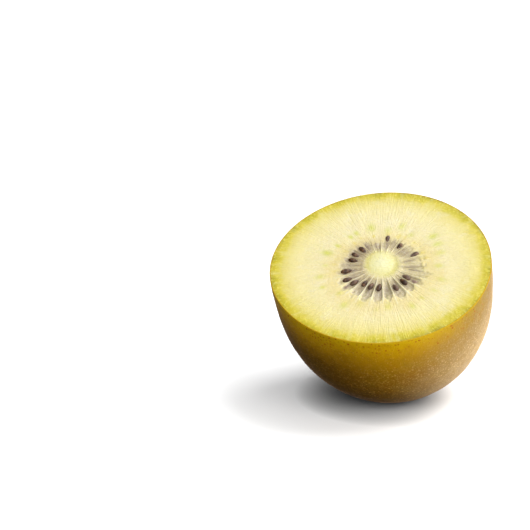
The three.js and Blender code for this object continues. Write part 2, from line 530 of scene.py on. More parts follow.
    def relief(self, points: np.ndarray) -> np.ndarray:
        """How far the cut stands out of its plane: the core proud, the jelly sunk, the flesh a little rough.

        Args:
            points: N by 3 points on the cut face.

        Returns:
            N heights.
        """
        jelly, wall, along = self.jelly(points)
        bearing, _ = self.around_heart(points)
        dome = np.clip(1.0 - self.core_share(points) ** 2, 0.0, 1.0) ** self.heart.core_bluntness
        sink = self.heart.locule_depth * jelly * np.sqrt(np.sin(math.pi * np.clip(along, 0.0, 1.0)))
        sink *= between(self.sink_share, facing(bearing, self.heart.low_bearing))
        swell = self.seed_swell * self.seed_stain(points) * jelly
        radius = np.hypot(*points[:, :2].T)
        edge = smoothstep(radius, self.form.cut_radius - self.edge_width, self.form.cut_radius)
        rough = sum(noise.at(points) for noise in self.grain)
        core = self.heart.core_rise * dome
        return core - sink + swell + self.wall_rise * wall - self.edge_drop * edge + rough


# ---- Meshes ----


def full_turn(sectors: int) -> np.ndarray:
    """The bearings of as many points, evenly round."""
    return np.linspace(0.0, 360.0, sectors, endpoint=False)


def turned_surface(rings: np.ndarray) -> tuple[np.ndarray, Faces]:
    """Joins rings of points into a closed surface, with its first and last ring drawn together to a point.

    Args:
        rings: Ring by sector by 3 points, of which each ring goes once round.

    Returns:
        The points, N by 3, and the faces, facing out.
    """
    ring_count, sectors, _ = rings.shape
    inner = rings[1:-1].reshape(-1, 3)
    points = np.concatenate([rings[0].mean(axis=0)[None], inner, rings[-1].mean(axis=0)[None]])
    ring = np.arange(ring_count - 3)[:, None] * sectors + 1
    here = np.arange(sectors)
    after = (here + 1) % sectors
    quads = np.stack([ring + here, ring + after, ring + sectors + after, ring + sectors + here], axis=-1)
    last = len(points) - 1
    last_ring = 1 + (ring_count - 3) * sectors
    caps = [(0, int(b) + 1, int(a) + 1) for a, b in zip(here, after)]
    caps += [(last, last_ring + int(a), last_ring + int(b)) for a, b in zip(here, after)]
    faces = [tuple(face) for face in quads.reshape(-1, 4).tolist()] + caps
    corners = points[quads.reshape(-1, 4)]
    normal = np.cross(corners[:, 1] - corners[:, 0], corners[:, 2] - corners[:, 0])
    if np.einsum("ij,ij->", corners[:, 0], normal) < 0:
        faces = [face[::-1] for face in faces]
    return points, faces


def joined(shapes: Iterable[tuple[np.ndarray, Faces]]) -> tuple[np.ndarray, Faces]:
    """Gathers closed shapes into one mesh.

    Args:
        shapes: Each shape's points and faces.

    Returns:
        All the points, and all the faces.
    """
    points, faces, start = [], [], 0
    for shape, shape_faces in shapes:
        points.append(shape)
        faces += [tuple(start + corner for corner in face) for face in shape_faces]
        start += len(shape)
    return np.concatenate(points), faces


def placed(name: str, data: bpy.types.ID) -> bpy.types.Object:
    """Adds an object to the scene.

    Args:
        name: Its name.
        data: Its mesh, lamp or camera.

    Returns:
        The object.
    """
    made = bpy.data.objects.new(name, data)
    bpy.context.scene.collection.objects.link(made)
    return made


def make_piece(
    name: str,
    points: np.ndarray,
    faces: Faces,
    masks: dict[str, np.ndarray],
    material: bpy.types.Material,
) -> bpy.types.Object:
    """Makes a smooth piece, which rides on the fruit and stands for its solid.

    Args:
        name: The piece's name.
        points: N by 3 points as the fruit lies.
        faces: Tuples of point numbers.
        masks: What the material reads from the points: arrays of N numbers, or of N by 3 numbers, by name.
        material: The piece's material.

    Returns:
        The piece.
    """
    mesh = bpy.data.meshes.new(name)
    mesh.from_pydata(points.tolist(), [], faces)
    for mask_name, values in masks.items():
        kind, key = ("FLOAT_VECTOR", "vector") if values.ndim == 2 else ("FLOAT", "value")
        attribute = mesh.attributes.new(mask_name, kind, "POINT")
        attribute.data.foreach_set(key, values.astype(np.float32).ravel())
    mesh.polygons.foreach_set("use_smooth", [True] * len(mesh.polygons))
    mesh.update()
    mesh.materials.append(material)
    piece = placed(name, mesh)
    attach(piece, BODY)
    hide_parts(NODE)
    return piece


# ---- Materials ----


def linear(code: str) -> tuple[float, float, float, float]:
    """The renderer's linear colour, with its alpha, for a screen colour such as "f3e58c"."""
    channels = [int(code[i : i + 2], 16) / 255 for i in (0, 2, 4)]
    return (*[c / 12.92 if c <= 0.04045 else ((c + 0.055) / 1.055) ** 2.4 for c in channels], 1.0)


class Graph:
    """A short way to write a material's nodes, whose inputs take outputs of others or plain values."""

    def __init__(self, tree: bpy.types.NodeTree) -> None:
        """Starts on an empty tree."""
        self.tree = tree
        self.tree.nodes.clear()

    def feed(self, node: bpy.types.Node, inputs: Inputs) -> None:
        """Links outputs to a node's inputs, or sets the inputs' own values.

        Args:
            node: The node.
            inputs: Output sockets or plain values, by the input's name or number.
        """
        for key, value in inputs.items():
            if isinstance(value, Socket):
                self.tree.links.new(value, node.inputs[key])
            else:
                node.inputs[key].default_value = value

    def node(self, kind: str, inputs: Inputs | None = None, **settings: object) -> bpy.types.Node:
        """Adds a node.

        Args:
            kind: The node's type, in full or without the word ShaderNode.
            inputs: What its inputs take, by name or number.
            **settings: Values of its own properties.

        Returns:
            The node.
        """
        made = self.tree.nodes.new(kind if kind.startswith("Node") else "ShaderNode" + kind)
        for key, value in settings.items():
            setattr(made, key, value)
        self.feed(made, inputs or {})
        return made

    def output(self, name: int | str, kind: str, inputs: Inputs | None = None, **settings: object) -> Socket:
        """Adds a node, and gives one of its outputs by name or number."""
        return self.node(kind, inputs, **settings).outputs[name]

    def mask(self, name: str, output: str = "Fac") -> Socket:
        """What the mesh carries under a name: a number, or with "Vector" a vector."""
        return self.output(output, "Attribute", attribute_name=name)

    def place(self) -> Socket:
        """The point's own place on the piece, in metres."""
        return self.output("Object", "TexCoord")

    def seen(self) -> Socket:
        """1 for what the camera looks straight at, and 0 for what only throws light."""
        return self.output("Is Camera Ray", "LightPath")

    def math(self, operation: str, a: object, b: object = 0.0, clamp: bool = False) -> Socket:
        """Works out one of the Math node's operations, kept from 0 to 1 if clamp is set."""
        return self.output(0, "Math", {0: a, 1: b}, operation=operation, use_clamp=clamp)

    def times(self, *factors: object) -> Socket:
        """The product of numbers and outputs."""
        return reduce(partial(self.math, "MULTIPLY"), factors)

    def centred(self, tone: Socket, width: float) -> Socket:
        """Turns a tone from 0 to 1 into a play of some width about 0."""
        return self.times(self.math("SUBTRACT", tone, 0.5), width)

    def scaled(self, vector: Socket, by: Place) -> Socket:
        """A vector stretched along each axis."""
        return self.output(0, "VectorMath", {0: vector, 1: by}, operation="MULTIPLY")

    def reach(self, vector: Socket, way: Place) -> Socket:
        """How far a vector reaches one way."""
        return self.output("Value", "VectorMath", {0: vector, 1: way}, operation="DOT_PRODUCT")

    def mix(self, share: object, a: object, b: object) -> Socket:
        """Mixes the colours a and b by the share of b. They are the Mix node's inputs 6 and 7."""
        return self.output(2, "Mix", {0: share, 6: a, 7: b}, data_type="RGBA", clamp_factor=True)

    def tinted(self, colour: Socket, code: str, *shares: object) -> Socket:
        """Mixes a screen colour into another, by the product of its shares."""
        return self.mix(self.times(*shares), colour, linear(code))

    def ramp(self, share: Socket, stops: Stops) -> Socket:
        """Runs through colours.

        Args:
            share: How far along the colours.
            stops: Places from 0 to 1 in order, each with its screen colour.

        Returns:
            The colour's output.
        """
        made = self.node("ValToRGB", {0: share})
        elements = made.color_ramp.elements
        while len(elements) < len(stops):
            elements.new(1.0)
        for element, (place, code) in zip(elements, stops):
            element.position = place
            element.color = linear(code)
        return made.outputs[0]

    def remap(
        self,
        value: object,
        low: float,
        high: float,
        to_low: object = 0.0,
        to_high: object = 1.0,
        easing: str = "SMOOTHSTEP",
    ) -> Socket:
        """Stretches the range from low to high to the range from to_low to to_high."""
        inputs = dict(enumerate((value, low, high, to_low, to_high)))
        return self.output(0, "MapRange", inputs, interpolation_type=easing)

    def bump(self, height: Socket, depth: float, **normal: Socket) -> Socket:
        """Bends the surface's normal, or a given Normal, as a relief of some depth would."""
        return self.output("Normal", "Bump", {"Distance": depth, "Height": height, **normal})

    def group(self, tree: bpy.types.NodeTree, **values: object) -> Socket:
        """Places a shared effect with its inputs by name, and gives its one output."""
        return self.output(0, "Group", values, node_tree=tree)


def shared_effect(
    name: str, numbers: dict[str, float], nodes: Callable[[Graph, Sockets], Socket]
) -> bpy.types.NodeTree:
    """Makes a node group that turns a place into one number, or finds it if it is there.

    Args:
        name: The group's name.
        numbers: Its inputs beside Place, by name, with their usual values.
        nodes: Makes its nodes in a graph from its inputs, and returns the output that it gives.

    Returns:
        The node group.
    """
    if name in bpy.data.node_groups:
        return bpy.data.node_groups[name]
    tree = bpy.data.node_groups.new(name, "ShaderNodeTree")
    tree.interface.new_socket("Place", in_out="INPUT", socket_type="NodeSocketVector")
    for label, value in numbers.items():
        socket = tree.interface.new_socket(label, in_out="INPUT", socket_type="NodeSocketFloat")
        socket.default_value = value
    tree.interface.new_socket("Value", in_out="OUTPUT", socket_type="NodeSocketFloat")
    graph = Graph(tree)
    result = nodes(graph, graph.node("NodeGroupInput").outputs)
    graph.node("NodeGroupOutput", {"Value": result})
    return tree


def mottle_nodes(graph: Graph, given: Sockets) -> Socket:
    """The nodes of an uneven tone.

    Args:
        graph: The group's graph.
        given: The group's inputs: Place, Scale, Detail, Low and High.

    Returns:
        A number from Low to High.
    """
    inputs = {"Vector": given["Place"], "Scale": given["Scale"], "Detail": given["Detail"]}
    noise = graph.output(0, "TexNoise", inputs)
    return graph.remap(noise, *NOISE_SPAN, given["Low"], given["High"], easing="LINEAR")


@dataclass(frozen=True)
class Mottle:
    """The uneven tone that skin, flesh, seeds, dried stubs and floor share.

    The scale is how many of its patches go to a unit of the place where it is read, and the detail how many
    layers of finer patches it has.
    """

    scale: float
    detail: float = 3.0
    span: Span = (0.0, 1.0)

    def tone(self, graph: Graph, place: Socket | None = None) -> Socket:
        """Places it.

        Args:
            graph: The material's graph.
            place: Where it is read, if not at the point's own place.

        Returns:
            A number within its span.
        """
        numbers = {"Scale": self.scale, "Detail": self.detail, "Low": self.span[0], "High": self.span[1]}
        effect = shared_effect("fruit_mottle", numbers, mottle_nodes)
        return graph.group(effect, Place=graph.place() if place is None else place, **numbers)


def speck_nodes(graph: Graph, given: Sockets) -> Socket:
    """The nodes of small round specks, one to a cell.

    Args:
        graph: The group's graph.
        given: The group's inputs: Place, Pitch, Smallest and Largest.

    Returns:
        A mask.
    """
    scale = graph.math("DIVIDE", 1.0, given["Pitch"])
    cells = graph.node("TexVoronoi", {"Vector": given["Place"], "Scale": scale}, feature="F1")
    drawn = graph.node("SeparateColor", {0: cells.outputs["Color"]})
    size = graph.remap(drawn.outputs[0], *WHOLE, given["Smallest"], given["Largest"])
    dot = graph.remap(graph.math("DIVIDE", cells.outputs["Distance"], size), *SPECK_EDGE)
    return graph.times(dot, graph.remap(drawn.outputs[1], *WHOLE, *SPECK_STRENGTH))


@dataclass(frozen=True)
class Specks:
    """Small round specks, one to a cell of some pitch, with the smallest and largest as shares of it."""

    pitch: float
    sizes: Span
    strength: float = 1.0

    def mask(self, graph: Graph) -> Socket:
        """Places them.

        Args:
            graph: The material's graph.

        Returns:
            Their mask.
        """
        numbers = {"Pitch": self.pitch, "Smallest": self.sizes[0], "Largest": self.sizes[1]}
        effect = shared_effect("skin_specks", numbers, speck_nodes)
        return graph.group(effect, Place=graph.place(), **numbers)


def new_material(name: str, kind: str = "BsdfPrincipled") -> tuple[bpy.types.Material, Graph, bpy.types.Node]:
    """Starts a material.

    Args:
        name: Its name.
        kind: The shader that it is made of.

    Returns:
        The material, its graph, and its shader, already linked to the output.
    """
    material = bpy.data.materials.new(name)
    material.use_nodes = True
    graph = Graph(material.node_tree)
    shader = graph.node(kind)
    graph.node("OutputMaterial", {"Surface": shader.outputs[0]})
    return material, graph, shader


@dataclass(frozen=True)
class SkinFinish:
    """Thin smooth skin with fine pale specks: golden under the cut, where a glow of light through the flesh
    is painted, and tan and brown further down, darkened by painted shade.

    It has painted shade to one side, and a pale painted sheen to the other. Depths go from 0 at the rim to 1
    at the blossom end.
    """

    # Painted glow and shade by depth: brightest golden under the rim, where light through the flesh is
    # painted, and darker further down, where painted shade lies over the skin's own tan and brown.
    golden: Stops = (
        (0.0, "cba502"), (0.05, "bc9002"), (0.12, "a77a02"),
        (0.24, "8d6204"), (0.5, "7a5310"), (1.0, "6e4a22"),
    )
    # Painted sheen: the paler, greyer tan where the lamps light the skin from the right, by depth.
    painted_sheen: Stops = ((0.0, "796024"), (0.12, "8d7445"), (0.3, "b49866"), (0.5, "c8aa80"), (1.0, "c8aa8c"))
    cloud: Mottle = Mottle(110.0, 4.0)
    patch: Mottle = Mottle(420.0, 4.0)
    grain: Mottle = Mottle(2200.0, 2.0)
    roughness: Mottle = Mottle(700.0, span=(0.42, 0.58))
    patchiness: float = 0.05
    olive: str = "857a14"
    olive_share: float = 0.15
    russet: str = "84500f"
    russet_patch: Span = (0.55, 0.0)
    russet_share: float = 0.2
    # Painted shade: the skin is darkened on the side away from the lamps, more so below the rim.
    shaded: str = "3e2602"
    shaded_side: Span = (0.1, -0.6)
    shaded_depth: Span = (0.03, 0.26)
    shaded_share: float = 0.6
    # How the painted sheen spreads: towards the lit side and lower down, broken by the patchy tone.
    painted_sheen_side: Span = (0.16, 1.05)
    painted_sheen_with_depth: float = 0.6
    painted_sheen_patch: Span = (0.8, 1.0)
    pale_share: float = 0.9
    below_rim: Span = (0.0, 0.35)
    speck_at_rim: float = 0.12
    fine_specks: Specks = Specks(0.56 * MM, (0.2, 0.42), 0.75)
    large_specks: Specks = Specks(1.35 * MM, (0.09, 0.2), 0.8)
    rim_specks: Specks = Specks(0.72 * MM, (0.12, 0.42))
    rim_speck_depth: Span = (0.13, 0.03)
    speck: str = "d0a04c"
    # The specks' colour under the painted sheen.
    painted_sheen_speck: str = "eccd9c"
    # The specks' colour under the painted shade.
    shaded_speck: str = "6a4c1c"
    rim_speck: str = "9c4c08"
    halo: str = "a8622a"
    halo_share: float = 0.75
    pit: str = "3c2414"
    cut_edge: str = "ac8a18"
    fuzz: str = "e8bd98"
    fuzz_share: float = 0.35
    relief: float = 0.03 * MM

    def ground(self, graph: Graph, depth: Socket, patch: Socket) -> tuple[Socket, Socket]:
        """The colour of the skin and that of its specks, with the painted glow, shade and sheen.

        Args:
            graph: The material's graph.
            depth: How far below the rim a point lies.
            patch: The skin's patchy tone.

        Returns:
            The outputs of the two colours.
        """
        side = graph.mask("side")
        cloud = self.cloud.tone(graph)
        # Painted shade on the side away from the lamps, growing below the rim.
        shade = graph.remap(side, *self.shaded_side, 0.0, self.shaded_share)
        shade = graph.times(shade, graph.remap(depth, *self.shaded_depth))
        # Painted sheen on the lit side, stronger lower down.
        leant = graph.math("ADD", side, graph.times(depth, self.painted_sheen_with_depth))
        pale = graph.remap(leant, *self.painted_sheen_side, 0.0, self.pale_share)
        pale = graph.times(pale, graph.remap(patch, *WHOLE, *self.painted_sheen_patch))
        # Painted rim glow and painted shade, by depth below the rim.
        colour = graph.ramp(depth, self.golden)
        colour = graph.tinted(colour, self.olive, graph.remap(cloud, *PEAKS, 0.0, self.olive_share))
        russet = graph.remap(patch, *self.russet_patch, 0.0, self.russet_share)
        colour = graph.tinted(colour, self.russet, russet)
        colour = graph.tinted(colour, self.shaded, shade)
        # Lays the painted sheen over the skin's colour.
        colour = graph.mix(pale, colour, graph.ramp(depth, self.painted_sheen))
        speck = graph.mix(pale, linear(self.speck), linear(self.painted_sheen_speck))
        return colour, graph.tinted(speck, self.shaded_speck, shade)

    def make(self) -> bpy.types.Material:
        """Builds the material.

        Returns:
            The material.
        """
        material, graph, shader = new_material("kiwi_skin")
        patch, grain = self.patch.tone(graph), self.grain.tone(graph)
        depth = graph.math("ADD", graph.mask("depth"), graph.centred(patch, self.patchiness), clamp=True)
        below_rim = graph.remap(depth, *self.below_rim, self.speck_at_rim, 1.0)
        fine, large = self.fine_specks.mask(graph), self.large_specks.mask(graph)
        colour, speck = self.ground(graph, depth, patch)
        for tone, strength in (
            (graph.remap(grain, *PEAKS), self.fuzz_share),
            (fine, self.fine_specks.strength),
            (large, self.large_specks.strength),
        ):
            colour = graph.mix(graph.times(tone, below_rim, strength), colour, speck)
        flecks = graph.times(self.rim_specks.mask(graph), graph.remap(depth, *self.rim_speck_depth))
        for code, *shares in (
            (self.rim_speck, flecks, self.rim_specks.strength),
            (self.halo, graph.mask("halo"), self.halo_share),
            (self.pit, graph.mask("pit")),
            (self.cut_edge, graph.mask("edge")),
        ):
            colour = graph.tinted(colour, code, *shares)
        specks = graph.math("MAXIMUM", fine, large)
        values = {
            "Base Color": colour,
            "Roughness": self.roughness.tone(graph),
            "Normal": graph.bump(specks, self.relief, Normal=graph.bump(grain, self.relief)),
            "Subsurface Weight": 0.1,
            "Subsurface Radius": (1.0, 0.6, 0.15),
            "Subsurface Scale": 1.2 * MM,
            "Specular IOR Level": 0.06,
            "Sheen Weight": 0.3,
            "Sheen Roughness": 0.2,
            "Sheen Tint": linear(self.fuzz),
        }
        graph.feed(shader, values)
        return material


@dataclass(frozen=True)
class FleshFinish:
    """Wet cut flesh: cream and yellow, greener under the skin, with grey jelly in the locules.

    Places out go from 0 in the middle of the cut to 1 at the skin.
    """

    flesh: Stops = (
        (0.0, "c6bb8f"), (0.6, "c8be92"), (0.74, "c7bd88"), (0.82, "c4b978"), (0.88, "beb262"),
        (0.925, "b7a93c"), (0.96, "af9f20"), (0.985, "a4941a"), (1.0, "8c770a")
    )
    core: Stops = ((0.0, "c9c69f"), (0.3, "c8c496"), (0.6, "c5c088"), (1.0, "beb878"))
    jelly: Stops = ((0.0, "6e6251"), (0.5, "948772"), (1.0, "b1a58c"))
    cloud: Mottle = Mottle(300.0, 4.0)
    grain: Mottle = Mottle(1500.0)
    strands: Mottle = Mottle(1.0)
    hairs: Mottle = Mottle(1.0, 2.0)
    roughness: Mottle = Mottle(900.0, span=(0.32, 0.5))
    cloudiness: float = 0.05
    strandiness: float = 0.02
    pale: str = "cac3a4"
    pale_cloud: Span = (0.55, 1.0)
    pale_out: Span = (0.94, 0.86)
    pale_share: float = 0.4
    deep: str = "c0b074"
    deep_share: float = 0.22
    green: str = "949416"
    green_cloud: Span = (0.2, 0.9)
    green_out: Span = (0.88, 0.98)
    green_shares: Span = (0.05, 0.4)
    lit: str = "c6bc44"
    lit_out: Span = (0.87, 0.94)
    lit_share: float = 0.55
    bundle: str = "afb148"
    gold: str = "c4b440"
    gold_share: float = 0.9
    orange: str = "c2b070"
    orange_share: float = 0.5
    tan: str = "a59472"
    tan_shares: Span = (1.0, 0.6)
    wall: str = "c7c2a5"
    wall_shares: Span = (0.5, 0.95)
    stain: str = "5a443c"
    stain_share: float = 0.45
    fibre: str = "584338"
    fringe: str = "b2a955"
    fringe_share: float = 0.7
    strand_pitch: Place = (22.0, 22.0, 6.0)
    streak_pitch: Place = (17.0, 17.0, 4.0)
    hair_pitch: Place = (70.0, 70.0, 6.0)
    hair_start: Span = (0.6, 0.9)
    fraying: float = 0.36
    core_edge: Span = (1.02, 0.5)
    jelly_gloss: float = 0.16
    grain_relief: float = 0.04 * MM
    hair_relief: float = 0.05 * MM

    def ground(self, graph: Graph, grain: Socket, ray: Socket) -> Socket:
        """The flesh's own colour, from the core to the skin.

        Args:
            graph: The material's graph.
            grain: The flesh's fine tone.
            ray: The point's direction and distance from the heart.

        Returns:
            The colour's output.
        """
        cloud = self.cloud.tone(graph)
        strand = self.strands.tone(graph, graph.scaled(ray, self.strand_pitch))
        plays = graph.centred(cloud, self.cloudiness), graph.centred(strand, self.strandiness)
        out = graph.math("ADD", graph.mask("out"), graph.math("ADD", *plays), clamp=True)
        pale = graph.remap(cloud, *self.pale_cloud, 0.0, self.pale_share)
        green = graph.remap(cloud, *self.green_cloud, *self.green_shares)
        colour = graph.ramp(out, self.flesh)
        for code, *shares in (
            (self.pale, pale, graph.remap(out, *self.pale_out)),
            (self.deep, graph.remap(grain, *PEAKS, 0.0, self.deep_share)),
            (self.green, green, graph.remap(out, *self.green_out)),
            (self.lit, graph.remap(grain, *PEAKS, 0.0, self.lit_share), graph.remap(out, *self.lit_out)),
        ):
            colour = graph.tinted(colour, code, *shares)
        return colour

    def make(self) -> bpy.types.Material:
        """Builds the material.

        Returns:
            The material.
        """
        material, graph, shader = new_material("kiwi_flesh")
        ray = graph.mask("ray", "Vector")
        grain = self.grain.tone(graph)
        streak = self.strands.tone(graph, graph.scaled(ray, self.streak_pitch))
        hair = self.hairs.tone(graph, graph.scaled(ray, self.hair_pitch))
        colour = self.ground(graph, grain, ray)
        for code, *shares in (
            (self.bundle, graph.mask("bundle")),
            (self.gold, graph.mask("gold"), self.gold_share),
            (self.orange, graph.mask("glow"), self.orange_share),
            (self.tan, graph.mask("tan"), graph.remap(streak, *MOST, *self.tan_shares)),
        ):
            colour = graph.tinted(colour, code, *shares)
        dusky = graph.times(graph.mask("jelly"), graph.mask("dusk"))
        colour = graph.mix(dusky, colour, graph.ramp(streak, self.jelly))
        walls = graph.remap(hair, *MOST, *self.wall_shares)
        colour = graph.tinted(colour, self.wall, graph.mask("wall"), walls)
        colour = graph.tinted(colour, self.stain, graph.mask("stain"), self.stain_share)
        frayed = graph.math("ADD", graph.mask("core"), graph.centred(streak, self.fraying))
        colour = graph.mix(graph.remap(frayed, *self.core_edge), colour, graph.ramp(frayed, self.core))
        colour = graph.tinted(colour, self.fibre, graph.mask("fibre"))
        colour = graph.tinted(colour, self.fringe, graph.mask("fringe"), self.fringe_share)
        damp = self.roughness.tone(graph)
        wet = graph.times(graph.mask("jelly"), self.jelly_gloss)
        outside_core = graph.times(hair, graph.remap(graph.mask("core"), *self.hair_start))
        normal = graph.bump(grain, self.grain_relief)
        values = {
            "Base Color": colour,
            "Roughness": graph.math("SUBTRACT", damp, wet),
            "Normal": graph.bump(outside_core, self.hair_relief, Normal=normal),
            "Specular IOR Level": 0.35,
            "Subsurface Weight": 0.25,
            "Subsurface Radius": (1.0, 0.8, 0.35),
            "Subsurface Scale": 0.5 * MM,
            "Coat Weight": 0.08,
            "Coat Roughness": 0.12,
        }
        graph.feed(shader, values)
        return material


@dataclass(frozen=True)
class SeedFinish:
    """Hard glossy seeds, dark brown, and greyer where jelly lies over them."""

    shell: Stops = ((0.0, "180a02"), (0.5, "36200e"), (1.0, "62442c"))
    jelly: str = "927c6e"
    patch: Mottle = Mottle(1400.0)
    pits: Mottle = Mottle(3500.0, 1.0)
    roughness: Mottle = Mottle(2500.0, span=(0.25, 0.45))
    relief: float = 0.03 * MM

    def make(self) -> bpy.types.Material:
        """Builds the material.

        Returns:
            The material.
        """
        material, graph, shader = new_material("kiwi_seed")
        colour = graph.ramp(self.patch.tone(graph), self.shell)
        values = {
            "Base Color": graph.tinted(colour, self.jelly, graph.mask("veil")),
            "Roughness": self.roughness.tone(graph),
            "Normal": graph.bump(self.pits.tone(graph), self.relief),
            "Specular IOR Level": 0.2,
            "Coat Weight": 0.05,
            "Coat Roughness": 0.15,
        }
        graph.feed(shader, values)
        return material


@dataclass(frozen=True)
class StubFinish:
    """Dried, papery flower remains."""

    dried: Stops = ((0.0, "241509"), (0.5, "4a3019"), (1.0, "7a5730"))
    patch: Mottle = Mottle(1600.0, 4.0)
    roughness: Mottle = Mottle(2200.0, span=(0.7, 0.95))
    relief: float = 0.06 * MM

    def make(self) -> bpy.types.Material:
        """Builds the material.

        Returns:
            The material.
        """
        material, graph, shader = new_material("kiwi_stub")
        patch = self.patch.tone(graph)
        values = {
            "Base Color": graph.ramp(patch, self.dried),
            "Roughness": self.roughness.tone(graph),
            "Normal": graph.bump(patch, self.relief),
        }
        graph.feed(shader, values)
        return material


# ---- The pieces of the fruit ----


@dataclass(frozen=True)
class Skin:
    """The thin skin over the dome, with its cut edge and the collar and pit of the blossom end."""

    form: FruitForm
    resting: Resting
    thickness: float = 0.2 * MM
    edge_round: float = 0.1 * MM
    edge_share: float = 0.004
    sectors: int = 560
    outer_rings: int = 146
    inner_rings: int = 8
    smooth_share: float = 0.05
    unevenness: tuple[SmoothNoise, ...] = (
        SmoothNoise(11, 7.0 * MM, 0.09 * MM),
        SmoothNoise(12, 1.6 * MM, 0.0315 * MM),
        SmoothNoise(13, 0.6 * MM, 0.0108 * MM),
    )
    # The bearing of the lit side, which gets the painted sheen; the painted shade lies away from it.
    painted_light_bearing: float = 10.0
    halo: Span = (3.2 * MM, 7.5 * MM)
    pit: Span = (1.6 * MM, 2.9 * MM)

    def rings(self) -> tuple[np.ndarray, np.ndarray]:
        """The skin's rings, from the end inside, over the cut edge, to the end outside.

        Returns:
            The points, ring by sector by 3, and each ring's share along the dome, negative inside.
        """
        bearing = full_turn(self.sectors)
        inside = -np.linspace(1.0, 0.0, self.inner_rings)
        outside = np.linspace(0.0, 1.0, self.outer_rings)
        points = np.array(
            [self.form.dome(abs(share), bearing, self.thickness) for share in inside]
            + [self.form.dome(share, bearing) for share in outside]
        )
        points[self.inner_rings, :, 2] = -self.edge_round
        return points, np.concatenate([inside, outside])

    def roughened(self, points: np.ndarray, outside: np.ndarray) -> np.ndarray:
        """Adds the skin's faint unevenness.

        Args:
            points: N by 3 points in the fruit's own frame.
            outside: How much of the relief each point takes.

        Returns:
            The moved points.
        """
        away = points - np.array([0.0, 0.0, -self.form.cut_to_end / 3])
        away /= np.linalg.norm(away, axis=1)[:, None]
        height = sum(noise.at(points) for noise in self.unevenness)
        return points + away * (height * outside)[:, None]

    def build(self) -> bpy.types.Object:
        """Builds the skin and dresses it.

        Returns:
            The piece.
        """
        rings, shares = self.rings()
        points, faces = turned_surface(rings)
        along = np.concatenate([shares[:1], np.repeat(shares[1:-1], self.sectors), shares[-1:]])
        points = self.roughened(points, (along > 0) * smoothstep(along, 0.0, self.smooth_share))
        from_end = np.hypot(*(points[:, :2] - self.form.end_place()).T)
        at_end = along >= 0.5
        masks = {
            "depth": np.abs(along),
            "edge": hill(along, 0.0, self.edge_share) + (along < 0),
            "halo": at_end * (1.0 - smoothstep(from_end, *self.halo)),
            "pit": at_end * (1.0 - smoothstep(from_end, *self.pit)),
            # How far each point lies towards the lit side: painted sheen one way, painted shade the other.
            "side": points[:, :2] @ polar(self.painted_light_bearing, 1.0) / self.form.cut_radius,
        }
        laid = self.resting.lay(points, floor=np.where(along >= 0, 0.0, self.thickness))
        return make_piece("kiwi_skin", laid, faces, masks, SkinFinish().make())


